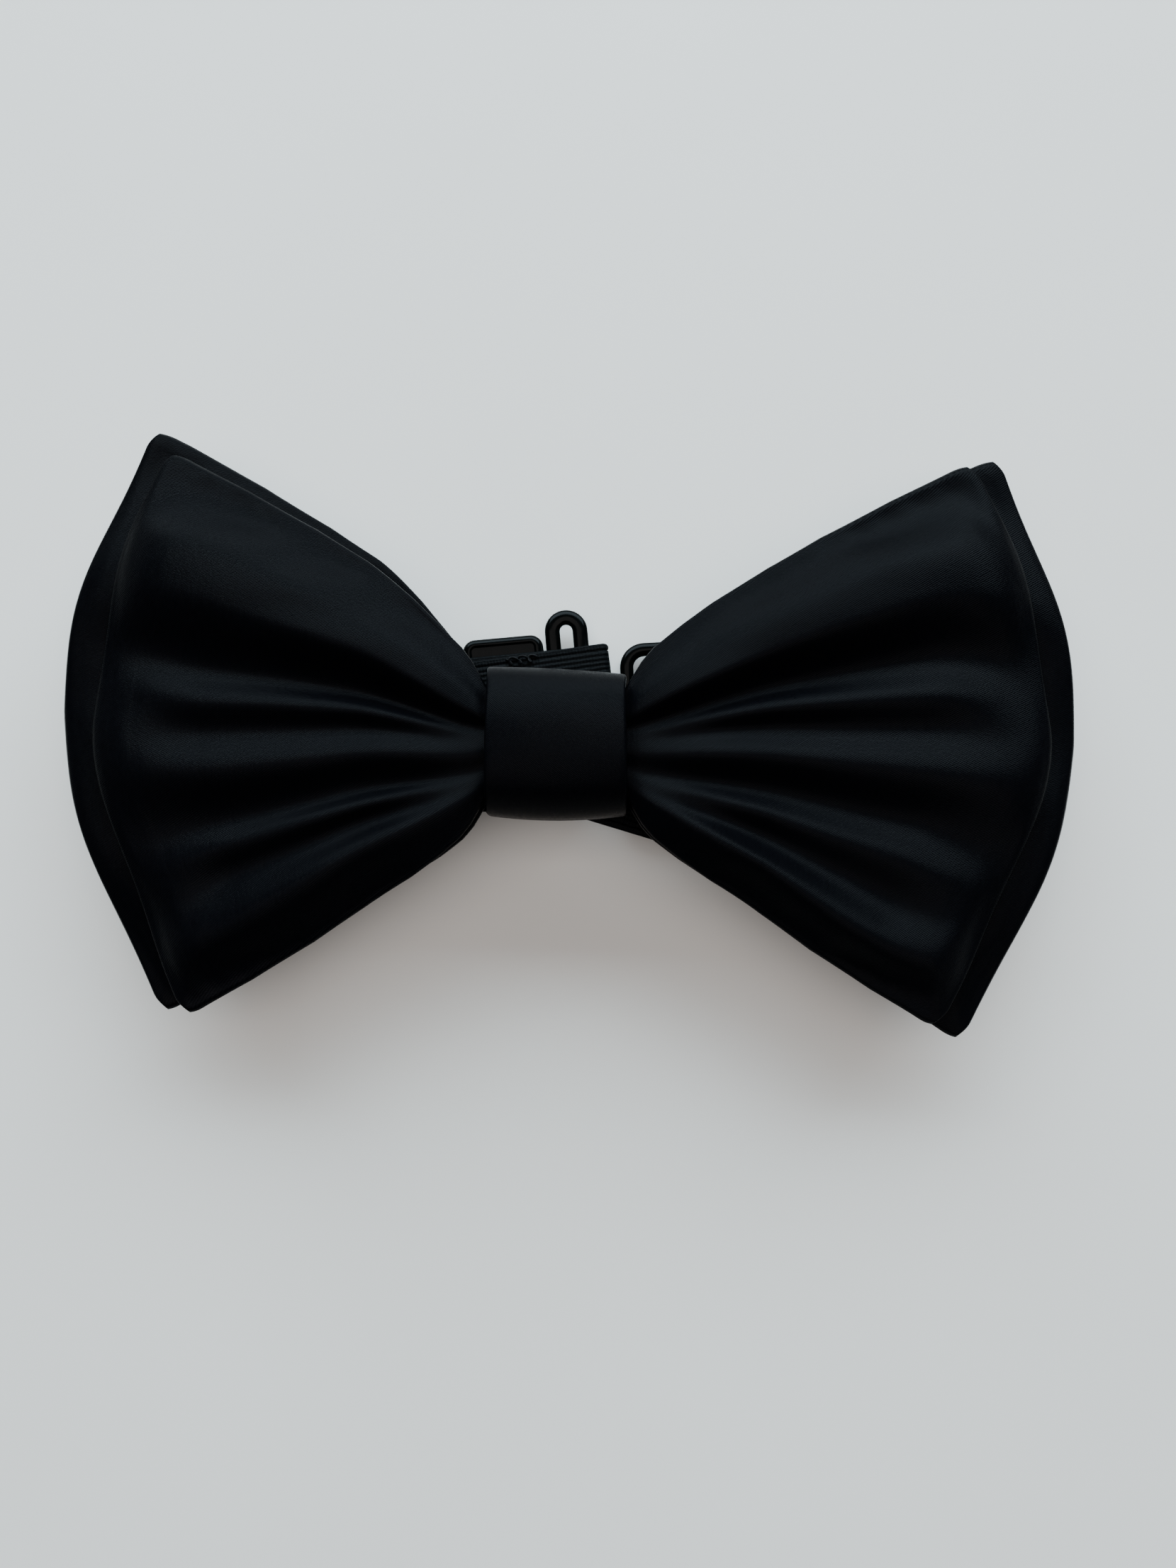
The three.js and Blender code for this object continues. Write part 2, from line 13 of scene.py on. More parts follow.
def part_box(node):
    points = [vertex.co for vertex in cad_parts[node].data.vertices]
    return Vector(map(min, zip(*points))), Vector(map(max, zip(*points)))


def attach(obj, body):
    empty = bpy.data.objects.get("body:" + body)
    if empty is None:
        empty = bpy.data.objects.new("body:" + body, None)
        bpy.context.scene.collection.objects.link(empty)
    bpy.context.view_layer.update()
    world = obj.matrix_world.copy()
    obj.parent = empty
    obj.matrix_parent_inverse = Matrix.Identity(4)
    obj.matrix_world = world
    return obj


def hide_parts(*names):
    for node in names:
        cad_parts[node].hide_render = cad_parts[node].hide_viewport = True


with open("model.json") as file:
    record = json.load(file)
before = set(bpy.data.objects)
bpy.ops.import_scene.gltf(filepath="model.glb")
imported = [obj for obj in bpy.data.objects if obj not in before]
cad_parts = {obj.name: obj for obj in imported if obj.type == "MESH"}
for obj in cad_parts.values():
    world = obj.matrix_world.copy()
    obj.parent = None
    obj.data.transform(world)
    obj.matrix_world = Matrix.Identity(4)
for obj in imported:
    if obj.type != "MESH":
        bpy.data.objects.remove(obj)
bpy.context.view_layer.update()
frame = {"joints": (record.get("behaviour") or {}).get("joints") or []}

MM = 0.001

# ---- places, worked out from the frame ----
KNOT_LOW, KNOT_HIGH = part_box("knot_band")
KNOT_SHIFT_Y = -0.4 * MM  # the knot sits this far below the tie's own zero
ZERO = Vector(((KNOT_LOW.x + KNOT_HIGH.x) / 2, (KNOT_LOW.y + KNOT_HIGH.y) / 2 - KNOT_SHIFT_Y, 0))
JOINTS = {joint["name"]: joint for joint in frame["joints"]}
RUN_AXIS = Vector(JOINTS["slider_slide"]["axis"])
RUN_SLOPE = math.atan2(RUN_AXIS.y, RUN_AXIS.x)
HOOK_PIVOT = Vector(JOINTS["hook_pivot"]["pos_m"])
EYE_PIVOT = Vector(JOINTS["eye_pivot"]["pos_m"])
EYE_AXIS = Vector(JOINTS["eye_pivot"]["axis"])
EYE_SLOPE = math.atan2(EYE_AXIS.x, -EYE_AXIS.y)

# ---- webbing ----
WEB_WIDTH = 15 * MM
WEB_THICK = 0.8 * MM
RIB_PITCH = 0.39 * MM
RIB_DEPTH = 0.05 * MM
YARN_PITCH = 0.6 * MM
THREAD = 0.25 * MM
# The right half steps up over its own doubled end: where the step starts before the eye's bar, how far it
# rises and its bends' radius, in millimetres.
EYE_STEP = dict(before=5.5, rise=1.0, radius=3.0)

# ---- moulded hardware, in millimetres ----
HOOK_RING = dict(width=5.5, length=24.6, corner=2.75, shift=1.25, rod=1.95)
EYE_RING = dict(width=11.2, length=23.2, corner=3.2, shift=0)
SLIDER = dict(width=10.2, length=20.6, height=4.9, corner=1.6, passage=15.7, floor=0.8, to_hook=6.4)
TONGUE = dict(reach=5.3, curl=1.05, thick=0.9, width=8.0)

# ---- bows ----
# Half height of a wing against distance from the middle, on past its corner
WING_EDGE = np.array([(0, 5.9), (7.7, 5.9), (8.5, 7.3), (9.6, 9.3), (11, 11.1), (14, 13.9), (17, 16.4),
                      (23, 20.7), (29, 24.6), (37, 29.0), (45.6, 33.1), (60, 40.5)]) * MM
UPPER_STRAIGHT = 1.3 * MM  # the upper edge is drawn this much straighter than the lower one
# A bow, in millimetres and degrees: corner distance, bulge and skew of its left and right end, tilt and
# shift of its wings, height of its waist above the knot's back, and heights of a wing's middle near the knot
# and at its tip. face and under are the share of the pleats' height shown on each side. seed varies the
# cloth's small waves.
FRONT_BOW = dict(corner=45.6, bulge=(9.4, 10.9), skew=(2.9, 2.8), tilt=-0.9, shift=(1.0, 1.1), waist=8.525,
                 wing=17.0, tip=15.3, face=1.0, under=0.34, seed=3)
BACK_BOW = dict(corner=49.2, bulge=(11.4, 11.3), skew=(2.9, 2.1), tilt=-2.0, shift=(1.3, 2.0), waist=4.575,
                wing=12.4, tip=12.2, face=0.36, under=0.42, seed=11)
# Pleats across a wing as (place from lower edge -1 to upper edge 1, share of the height): lower lobe, small
# pleats with their valleys, and the broad upper lobe. Near the knot, out on each wing, and at the tip.
PLEATS_NEAR = [(-0.84, 0.92), (-0.70, 0.56), (-0.62, 0.34), (-0.48, 0.08), (-0.19, 0.62), (0.03, 0.38),
               (0.09, 0.28), (0.19, 0.10), (0.43, 1.0), (0.60, 0.95)]
PLEATS_LEFT = [(-0.81, 1.0), (-0.60, 0.18), (-0.50, 0.52), (-0.39, 0.02), (-0.19, 0.68), (-0.03, 0.24),
               (0.085, 0.62), (0.22, 0.05), (0.50, 1.0), (0.66, 0.94)]
PLEATS_RIGHT = [(-0.89, 1.0), (-0.67, 0.18), (-0.52, 0.52), (-0.36, 0.02), (-0.15, 0.68), (0.02, 0.24),
                (0.155, 0.62), (0.31, 0.05), (0.56, 1.0), (0.72, 0.94)]
PLEATS_TIP = [(-0.82, 0.98), (-0.66, 0.68), (-0.56, 0.46), (-0.42, 0.16), (-0.16, 0.66), (0.0, 0.52),
              (0.12, 0.34), (0.26, 0.10), (0.52, 0.92), (0.68, 0.86)]
LOWER_FULLNESS = 0.55  # share of the pleats' height kept up to the lower edge, where the cloth rolls under
# Distance from the middle and half height of the wing where the first and the next lists are drawn
FAN_NEAR = (8.4 * MM, 6.9 * MM)
FAN_FAR = (37 * MM, 29 * MM)
# Pleat height against the share of the way from knot to tip
PLEAT_HEIGHT = [(0.0, 1.2), (0.05, 1.7), (0.12, 2.4), (0.24, 3.1), (0.45, 3.5), (0.68, 3.4), (0.85, 2.9),
                (1.0, 2.0)]
WING_START = 7.7 * MM
TWILL_UNIT = 0.9 * MM  # satin covered by one unit of the twill's wave texture
RIM_THICK = 0.5 * MM
# Cloth simulation: the copy's size against life, frames, half width of the waist that is held still, the
# most that a point may move, and smoothing passes
CLOTH_SCALE = 10
CLOTH_FRAMES = 20
CLOTH_HELD = 8.6 * MM
CLOTH_CAP = 0.4 * MM
CLOTH_SMOOTHING = 3

# ---- knot ----
BAND_HALF = 8.1 * MM
BAND_THICK = 0.7 * MM
BAND_CROWN = 0.5 * MM
LINING_HALF = 6.9 * MM
LINING_THICK = 0.45 * MM
LINING_GROW = -0.95 * MM  # its outer face lies this far inside the band's


# ---- mesh helpers ----
def add_mesh(name, points, faces, uvs=None):
    mesh = bpy.data.meshes.new(name)
    mesh.from_pydata([tuple(p) for p in points], [], [tuple(f) for f in faces])
    if uvs is not None:
        layer = mesh.uv_layers.new(name="weave")
        corners = np.array([loop.vertex_index for loop in mesh.loops])
        layer.data.foreach_set("uv", np.asarray(uvs, float)[corners].ravel())
    mesh.validate()
    mesh.update()
    mesh.polygons.foreach_set("use_smooth", [True] * len(mesh.polygons))
    obj = bpy.data.objects.new(name, mesh)
    bpy.context.scene.collection.objects.link(obj)
    return obj


def face_volume(points, faces):
    corners = np.asarray(points)[np.asarray(faces)[:, :3]]
    return np.einsum("ij,ij->", corners[:, 0], np.cross(corners[:, 1], corners[:, 2]))


def loft(name, rings, closed=False, uvs=None):
    """A closed surface through rings of points, each an (n, 3) array. Strips of quads close the ends."""
    rings = np.asarray(rings, float)
    count, size = rings.shape[:2]
    points = rings.reshape(-1, 3)
    rows = count if closed else count - 1
    faces = []
    for row in range(rows):
        here, after = row * size, ((row + 1) % count) * size
        faces += [(here + i, here + (i + 1) % size, after + (i + 1) % size, after + i) for i in range(size)]
    if not closed:
        last = (count - 1) * size
        for i in range(size // 2 - 1):
            faces.append((i + 1, i, size - 1 - i, size - 2 - i))
            faces.append((last + i, last + i + 1, last + size - 2 - i, last + size - 1 - i))
    centred = points - points.mean(0)
    if face_volume(centred, faces) < 0:
        faces = [face[::-1] for face in faces]
    return add_mesh(name, points, faces, None if uvs is None else np.asarray(uvs).reshape(-1, 2))


def tube_rings(path, radius, sides=10):
    """Round sections along a path, kept from twisting."""
    path = np.asarray(path, float)
    tangents = np.gradient(path, axis=0)
    tangents /= np.linalg.norm(tangents, axis=1)[:, None]
    across = np.cross(tangents[0], (0.31, 0.17, 0.93))
    rings = []
    angles = 2 * math.pi * (np.arange(sides) + 0.5) / sides
    for point, tangent in zip(path, tangents):
        across = across - tangent * (across @ tangent)
        across /= np.linalg.norm(across)
        other = np.cross(tangent, across)
        rings.append(point + radius * (np.outer(np.cos(angles), across) + np.outer(np.sin(angles), other)))
    return rings


def smoothstep(value, low, high):
    share = np.clip((np.asarray(value, float) - low) / (high - low), 0, 1)
    return share * share * (3 - 2 * share)


def wave_between(place, marks):
    """Smooth heights through marks of (place, height), which are arrays over the points: level at crests and
    valleys, and running on through the marks between them."""
    steps = [(h1 - h0) / (p1 - p0) for (p0, h0), (p1, h1) in zip(marks[:-1], marks[1:])]
    slopes = [np.zeros_like(place)]
    for before, after in zip(steps[:-1], steps[1:]):
        same_way = before * after > 0
        slopes.append(np.where(same_way, 2 * before * after / np.where(same_way, before + after, 1), 0))
    slopes.append(np.zeros_like(place))
    height = np.zeros_like(place)
    for i, ((p0, h0), (p1, h1)) in enumerate(zip(marks[:-1], marks[1:])):
        width = p1 - p0
        t = np.clip((place - p0) / width, 0, 1)
        rise = h0 + (h1 - h0) * t * t * (3 - 2 * t)
        lean = width * t * (1 - t) * (slopes[i] * (1 - t) - slopes[i + 1] * t)
        height = np.where((place >= p0) & (place <= p1), rise + lean, height)
    return height


# ---- bows ----
def bow_outline(bow, station, v):
    """Plan of a bow: station is the signed distance along its edge, and v runs from lower to upper edge."""
    edge = np.abs(station)
    end = (edge / (bow["corner"] * MM)) ** 3
    bulge = np.where(station < 0, *bow["bulge"])
    skew = np.where(station < 0, *bow["skew"])
    reach = (bulge * (1 - np.abs(v) ** 1.6) + skew * v) * MM
    corner_round = 0.9 * MM * np.clip((np.abs(v) - 0.95) / 0.05, 0, 1) ** 2 * end
    ripple = 0.22 * MM * np.sin(8.0 * v + bow["seed"]) * end
    x = np.sign(station) * (edge + end * reach - corner_round + ripple)
    half = np.interp(edge, WING_EDGE[:, 0], WING_EDGE[:, 1])
    half = half - 0.4 * MM * np.clip((end - 0.88) / 0.12, 0, 1) ** 2
    wing_end = FRONT_BOW["corner"] * MM
    hump = np.sin(math.pi * np.clip((edge - WING_START) / (wing_end - WING_START), 0, 1))
    y = v * half - np.clip(v, 0, 1) ** 2 * UPPER_STRAIGHT * hump
    wing = smoothstep(edge, WING_START, 24 * MM)
    turn = math.radians(bow["tilt"]) * wing
    shift_x, shift_y = bow["shift"][0] * MM, bow["shift"][1] * MM
    plan_x = x * np.cos(turn) - y * np.sin(turn) + shift_x * wing
    plan_y = x * np.sin(turn) + y * np.cos(turn) + shift_y * wing + KNOT_SHIFT_Y * (1 - wing)
    return plan_x + ZERO.x, plan_y + ZERO.y, half, wing


def pleat_profile(station, half, out, v):
    """Height share of the pleats: straight rays that fan out from the knot and soften toward the tip."""
    share = np.clip((np.abs(station) - FAN_NEAR[0]) / (FAN_FAR[0] - FAN_NEAR[0]), 0, 2)
    tip = smoothstep(out, 0.70, 0.97)
    marks = [(-1, LOWER_FULLNESS)]
    for near, on_left, on_right, last in zip(PLEATS_NEAR, PLEATS_LEFT, PLEATS_RIGHT, PLEATS_TIP):
        wing = np.where(station < 0, on_left[0], on_right[0])
        place = (near[0] * FAN_NEAR[1] + (wing * FAN_FAR[1] - near[0] * FAN_NEAR[1]) * share) / half
        far = np.where(station < 0, on_left[1], on_right[1])
        height = near[1] + (far - near[1]) * smoothstep(share, 0, 0.5)
        marks.append((place * (1 - tip) + last[0] * tip, height * (1 - tip) + last[1] * tip))
    marks.append((1, 0))
    return wave_between(v, marks)


def wrinkles(points, bow, amplitude):
    """Fine unevenness of cloth, long along the pleats and short across them."""
    seed = bow["seed"] * 7.3
    values = [noise.noise(Vector((x * 55 + seed, y * 210, seed))) for x, y in points]
    return amplitude * np.array(values)


def grid_places(count, axis):
    """Places from -1 to 1, closer together toward the ends. Axis 0 is along the bow and axis 1 across it."""
    steps = np.linspace(-1, 1, count)
    crowd = (0.55, 0.65)[axis]
    return (1 - crowd) * steps + crowd * np.sin(steps * math.pi / 2)


def bow_grid(rows, columns, corner):
    return np.meshgrid(corner * grid_places(2 * rows + 1, 0), grid_places(columns + 1, 1), indexing="ij")


def bow_faces(rows, columns):
    """Quads of an upper and a lower grid that share their border."""
    width = columns + 1
    count = rows * width
    border = np.zeros((rows, width), bool)
    border[[0, -1], :] = True
    border[:, [0, -1]] = True
    upper = np.arange(count).reshape(rows, width)
    lower = upper.copy()
    lower[~border] = count + np.arange((~border).sum())
    quads = []
    for grid, flip in ((upper, False), (lower, True)):
        for i in range(rows - 1):
            for j in range(columns):
                quad = (grid[i, j], grid[i + 1, j], grid[i + 1, j + 1], grid[i, j + 1])
                quads.append(quad[::-1] if flip else quad)
    return quads, ~border


def bow_points(bow, rows, columns):
    """Upper and lower face of a sewn and turned bow: pleated satin, joined along a thin rolled edge."""
    corner = bow["corner"] * MM
    station, v = bow_grid(rows, columns, corner)
    v = v * bow.get("cut", 1)
    x, y, half, wing = bow_outline(bow, station, v)
    tip_x, _, _, _ = bow_outline(bow, np.where(station < 0, -corner, corner), v)
    out = np.clip((np.abs(x - ZERO.x) - BAND_HALF) / (np.abs(tip_x - ZERO.x) - BAND_HALF), 0, 1)
    edge = np.minimum((1 - np.abs(v)) * half * 0.85, np.abs(tip_x - x) * 0.95)
    rim = RIM_THICK * np.sqrt(np.clip(1 - (1 - np.clip(edge / RIM_THICK, 0, 1)) ** 2, 0, 1))
    allowance = 0.05 * MM * smoothstep(edge, 0.5 * MM, 1.1 * MM) * wing
    allowance *= 1 - smoothstep(edge, 4.2 * MM, 5.4 * MM)
    puff = 1 - np.exp(-((np.clip(edge - 0.4 * MM, 0, 1) / (2.6 * MM)) ** 1.3))
    height = np.interp(out, *np.array(PLEAT_HEIGHT).T) * MM
    share = pleat_profile(station, half, out, v)
    plan = np.stack([x.ravel(), y.ravel()], 1)
    fine = wrinkles(plan, bow, 0.16 * MM).reshape(x.shape) * puff
    beside_seam = np.exp(-(((edge - 1.4 * MM) / (0.9 * MM)) ** 2)) * wing
    pucker = 0.05 * MM * np.sin(station * 1900 + 6 * v) * beside_seam
    up = rim + allowance + puff * share * height * bow["face"] + fine + pucker
    down = rim + allowance + puff * share * height * bow["under"] - 0.6 * fine + pucker
    knot_z = KNOT_LOW.z + bow["waist"] * MM
    wing_z = (bow["wing"] + (bow["tip"] - bow["wing"]) * smoothstep(out, 0.25, 1.0)) * MM
    wave = 0.45 * MM * np.sin(7.5 * v + bow["seed"]) * out**3
    middle = knot_z + (wing_z - knot_z) * wing + wave
    border = np.zeros(x.shape, bool)
    border[[0, -1], :] = True
    border[:, [0, -1]] = True
    thick = np.where(border, 0, bow.get("thickness", 1))
    upper = np.stack([x, y, middle + thick * up], -1)
    lower = np.stack([x, y, middle - thick * down], -1)
    return upper, lower, np.stack([station, v * half], -1)


def bow_mesh(name, upper, lower, cloth=None):
    quads, inner = bow_faces(upper.shape[0], upper.shape[1] - 1)
    uvs = None if cloth is None else np.concatenate([cloth.reshape(-1, 2), cloth[inner]])
    return add_mesh(name, np.concatenate([upper.reshape(-1, 3), lower[inner]]), quads, uvs)


def simulated_offsets(bow, rows=42, columns=46):
    """Blows up a coarse, enlarged copy of the bow as cloth, and returns how far each grid point moved."""
    upper, lower, _ = bow_points(bow, rows, columns)
    count = upper.shape[0] * upper.shape[1]
    _, inner = bow_faces(upper.shape[0], columns)
    obj = bow_mesh("cloth_copy", upper * CLOTH_SCALE, lower * CLOTH_SCALE)
    start = np.array([tuple(v.co) for v in obj.data.vertices])
    held = np.abs(start[:, 0] / CLOTH_SCALE - ZERO.x) < CLOTH_HELD
    group = obj.vertex_groups.new(name="held")
    sewn = np.concatenate([~inner.ravel(), np.zeros(len(start) - count, bool)])
    group.add([int(i) for i in np.flatnonzero(sewn)], 0.92, "REPLACE")
    group.add([int(i) for i in np.flatnonzero(held)], 1.0, "REPLACE")
    modifier = obj.modifiers.new("cloth", "CLOTH")
    settings = modifier.settings
    settings.quality = 6
    settings.mass = 0.15
    settings.tension_stiffness = 25
    settings.compression_stiffness = 12
    settings.shear_stiffness = 8
    settings.bending_stiffness = 0.6
    settings.shrink_min = -0.012
    settings.use_pressure = True
    settings.uniform_pressure_force = 0.35
    settings.vertex_group_mass = "held"
    settings.effector_weights.gravity = 0
    modifier.point_cache.frame_start = 1
    modifier.point_cache.frame_end = CLOTH_FRAMES
    for step in range(1, CLOTH_FRAMES + 1):
        bpy.context.scene.frame_set(step)
    shaped = obj.evaluated_get(bpy.context.evaluated_depsgraph_get()).to_mesh()
    moved = (np.array([tuple(v.co) for v in shaped.vertices]) - start) / CLOTH_SCALE
    bpy.data.objects.remove(obj)
    bpy.context.scene.frame_set(1)
    size = np.linalg.norm(moved, axis=1, keepdims=True)
    moved *= CLOTH_CAP * np.tanh(size / CLOTH_CAP) / np.maximum(size, 1e-9)
    top = moved[:count].reshape(upper.shape)
    bottom = top.copy()
    bottom[inner] = moved[count:]
    return smoothed(top), smoothed(bottom)


def smoothed(field):
    """Evens out a grid of offsets, so that only the soft, broad shapes of the simulation stay."""
    for _ in range(CLOTH_SMOOTHING):
        field[1:-1] = (field[:-2] + 2 * field[1:-1] + field[2:]) / 4
        field[:, 1:-1] = (field[:, :-2] + 2 * field[:, 1:-1] + field[:, 2:]) / 4
    return field


def resampled(field, shape):
    """A grid of values carried over to a finer grid of the same cloth."""
    for axis in (0, 1):
        old = grid_places(field.shape[axis], axis)
        new = grid_places(shape[axis], axis)
        low = np.clip(np.searchsorted(old, new) - 1, 0, len(old) - 2)
        share = (new - old[low]) / (old[low + 1] - old[low])
        share = share.reshape((-1, 1, 1) if axis == 0 else (1, -1, 1))
        field = np.take(field, low, axis) * (1 - share) + np.take(field, low + 1, axis) * share
    return field


def bow_surface(name, bow, rows=92, columns=112):
    upper, lower, cloth = bow_points(bow, rows, columns)
    top, bottom = simulated_offsets(bow)
    upper = upper + resampled(top, upper.shape)
    lower = lower + resampled(bottom, lower.shape)
    return bow_mesh(name, upper, lower, cloth)


def shrunk(bow):
    """The interlining's cut: a little smaller than its cover all round, and thin."""
    return {**bow, "corner": bow["corner"] - 3.5, "cut": 0.88, "thickness": 0.35}


# ---- knot ----
def knot_section(angle, grow, crown):
    """Round the knot: a flat back, full sides and a gently arched front. grow moves the wall outwards."""
    half = (KNOT_HIGH.y - KNOT_LOW.y) / 2 + grow
    low, high = KNOT_LOW.z - grow, KNOT_HIGH.z - BAND_CROWN + grow
    middle = (low + high) / 2
    cos, sin = np.cos(angle), np.sin(angle)
    power = np.where(sin > 0, 2.5, 4.5)
    y = half * np.sign(cos) * np.abs(cos) ** (2 / power)
    z = (high - low) / 2 * np.sign(sin) * np.abs(sin) ** (2 / power)
    z = z + crown * np.clip(sin, 0, 1)
    return y + ZERO.y + KNOT_SHIFT_Y, z + middle


def even_angles(count):
    """Angles that space points evenly round the knot, and the distance round it at each."""
    fine = np.linspace(0, 2 * math.pi, 20001)
    y, z = knot_section(fine, 0, 0)
    walked = np.concatenate([[0], np.cumsum(np.hypot(np.diff(y), np.diff(z)))])
    distance = walked[-1] * np.arange(count) / count
    return np.interp(distance, walked, fine), distance


def wrapped_band(name, half_length, grow, wall, crown, around=144):
    """A closed band of cloth with rolled side edges, a little narrower in front."""
    turn = np.linspace(0, math.pi, 7)
    roll = wall / 2
    outer = [(x, 0.0) for x in np.linspace(-half_length + roll, half_length - roll, 27)]
    right = [(half_length - roll + roll * math.sin(t), -roll + roll * math.cos(t)) for t in turn[1:-1]]
    inner = [(x, -wall) for x in np.linspace(half_length - roll, -half_length + roll, 9)]
    left = [(-half_length + roll - roll * math.sin(t), -roll - roll * math.cos(t)) for t in turn[1:-1]]
    rings, uvs = [], []
    angle, distance = even_angles(around)
    for x, depth in outer + right + inner + left:
        share = x / half_length
        swell = crown * (1 - share * share)
        y, z = knot_section(angle, grow + depth + swell * 0.35, swell)
        front = np.clip(np.sin(angle), 0, 1)
        upward = np.clip(np.cos(angle), -1, 1)
        waisted = x * (1 - 0.025 * front - 0.035 * np.clip(upward, 0, 1) * front)
        y = y - 0.055 * (x + half_length * 0.2) * np.clip(upward, 0, 1)
        y = y + 0.4 * MM * np.clip(-upward, 0, 1) ** 2 * share * share
        ripple = [noise.noise(Vector((x * 260, a * 2.2, 4.7))) for a in angle]
        z = z + 0.07 * MM * np.array(ripple) * np.clip(np.sin(angle), 0, 1)
        rings.append(np.stack([waisted + ZERO.x, y, z], 1))
        uvs.append(np.stack([np.full(around, x), distance], 1))
    return loft(name, rings, closed=True, uvs=uvs)


def binding_coil(name):
    """Three turns of twisted thread pulled tight round both waists."""
    low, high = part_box("waist_binding_thread")
    radius = 0.28 * MM
    turns, per_turn = 3, 72
    steps = np.arange(turns * per_turn + 1)
    angle = 2 * math.pi * steps / per_turn
    half_y, half_z = (high.y - low.y) / 2 - radius, (high.z - low.z) / 2 - radius
    y = half_y * np.sign(np.cos(angle)) * np.abs(np.cos(angle)) ** 0.35
    z = half_z * np.sign(np.sin(angle)) * np.abs(np.sin(angle)) ** 0.35
    x = (steps / per_turn - turns / 2) * 1.3 * MM
    path = np.stack([x + (low.x + high.x) / 2, y + (low.y + high.y) / 2, z + (low.z + high.z) / 2], 1)
    return loft(name, tube_rings(path, radius, 8))


# ---- webbing, laid flat and then folded as in the frame ----
def along_line(origin, slope, distance):
    return origin[0] + math.cos(slope) * distance, origin[1] + math.sin(slope) * distance


def strap_courses():
    """Turning points (x, y, height of the layer that ends there), in millimetres from the tie's own zero."""
    hook = ((HOOK_PIVOT.x - ZERO.x) / MM, (HOOK_PIVOT.y - ZERO.y) / MM)
    eye = ((EYE_PIVOT.x - ZERO.x) / MM, (EYE_PIVOT.y - ZERO.y) / MM)
    run = (-50 - hook[0]) / math.cos(RUN_SLOPE)
    left = [(6, 0.5, None), (-50, -2, 9.1), (6, 6, 6.7), (*along_line(hook, RUN_SLOPE, run), 5.5),
            (*hook, 1.35), (*along_line(hook, RUN_SLOPE, -46), 3.55)]
    right = [(-6, 2.1, None), (48, -14.2, 7.9), (16, 1, 6.7), (*along_line(eye, EYE_SLOPE, 31.6), 5.5),
             (*eye, 1.6), (*along_line(eye, EYE_SLOPE, 18), 0.4)]
    return left, right


def leg_vector(course, i, shift):
    """From turning point i - 1 to turning point i, less the shift of the fold there."""
    return course[i][0] - shift[0] - course[i - 1][0], course[i][1] - shift[1] - course[i - 1][1]


def settle_folds(course, rise):
    """Each fold's lean, and its shift of the strip along the fold, so that each leg starts on its point."""
    folds = []
    for i in range(1, len(course) - 1):
        lift = rise if i == len(course) - 2 else 0
        drop = course[i + 1][2] - course[i][2] - lift
        folds.append(dict(drop=drop, flips=-1 if i % 2 == 0 else 1, skew=0, shift=(0, 0)))

    def heading(i):
        shift = folds[i]["shift"] if i < len(folds) else (0, 0)
        x, y = leg_vector(course, i + 1, shift)
        return math.atan2(y, x)

    for _ in range(8):
        for i, fold in enumerate(folds):
            turned = heading(i) + math.pi - heading(i + 1)
            fold["skew"] = fold["flips"] * math.atan2(math.sin(turned), math.cos(turned)) / 2
            shift = math.pi * abs(fold["drop"]) / 2 * math.tan(fold["skew"])
            line = heading(i) + fold["flips"] * (math.pi / 2 - fold["skew"])
            fold["shift"] = (shift * math.cos(line), shift * math.sin(line))
    return folds, heading(0)


def strap_bends(course, step=None):
    """Bends of the flat strip from its sewn end, its flat length, and the heading of its first leg."""
    folds, heading = settle_folds(course, step["rise"] if step else 0)
    bends, flat = [], 0.0
    for i in range(1, len(course)):
        fold = folds[i - 1] if i <= len(folds) else None
        shift = fold["shift"] if fold else (0, 0)
        leg = math.hypot(*leg_vector(course, i, shift))
        if step and i == len(course) - 2:
            angle = math.acos(1 - step["rise"] / (2 * step["radius"]))
            start = flat + leg - step["before"]
            for at, side in ((start, fold["flips"]), (start + step["radius"] * angle, -fold["flips"])):
                bends.append(dict(at=at, skew=0, radius=step["radius"], angle=angle, side=side))
            flat += 2 * step["radius"] * (angle - math.sin(angle))
        flat += leg
        if fold is None:
            break
        radius = abs(fold["drop"]) / 2
        side = fold["flips"] * math.copysign(1, fold["drop"])
        bends.append(dict(at=flat, skew=fold["skew"], radius=radius, angle=math.pi, side=side))
        flat += math.pi * radius / math.cos(fold["skew"])
    return bends, flat, heading


def fold_points(points, bends):
    """Takes points of the flat strip (along, across, above) through each bend, the farthest bend first."""
    place = points.copy()
    for bend in reversed(bends):
        cos, sin = math.cos(bend["skew"]), math.sin(bend["skew"])
        distance = (points[:, 0] - bend["at"]) * cos - points[:, 1] * sin
        turn = np.clip(distance / bend["radius"], 0, bend["angle"])
        past = (place[:, 0] - bend["at"]) * cos - place[:, 1] * sin - bend["radius"] * turn
        along = (place[:, 0] - bend["at"]) * sin + place[:, 1] * cos
        reach = bend["radius"] - bend["side"] * place[:, 2]
        forward = reach * np.sin(turn) + past * np.cos(turn)
        height = bend["side"] * (bend["radius"] - reach * np.cos(turn) + past * np.sin(turn))
        moved = np.stack([bend["at"] + forward * cos + along * sin, along * cos - forward * sin, height], 1)
        place = np.where((distance > 0)[:, None], moved, place)
    return place


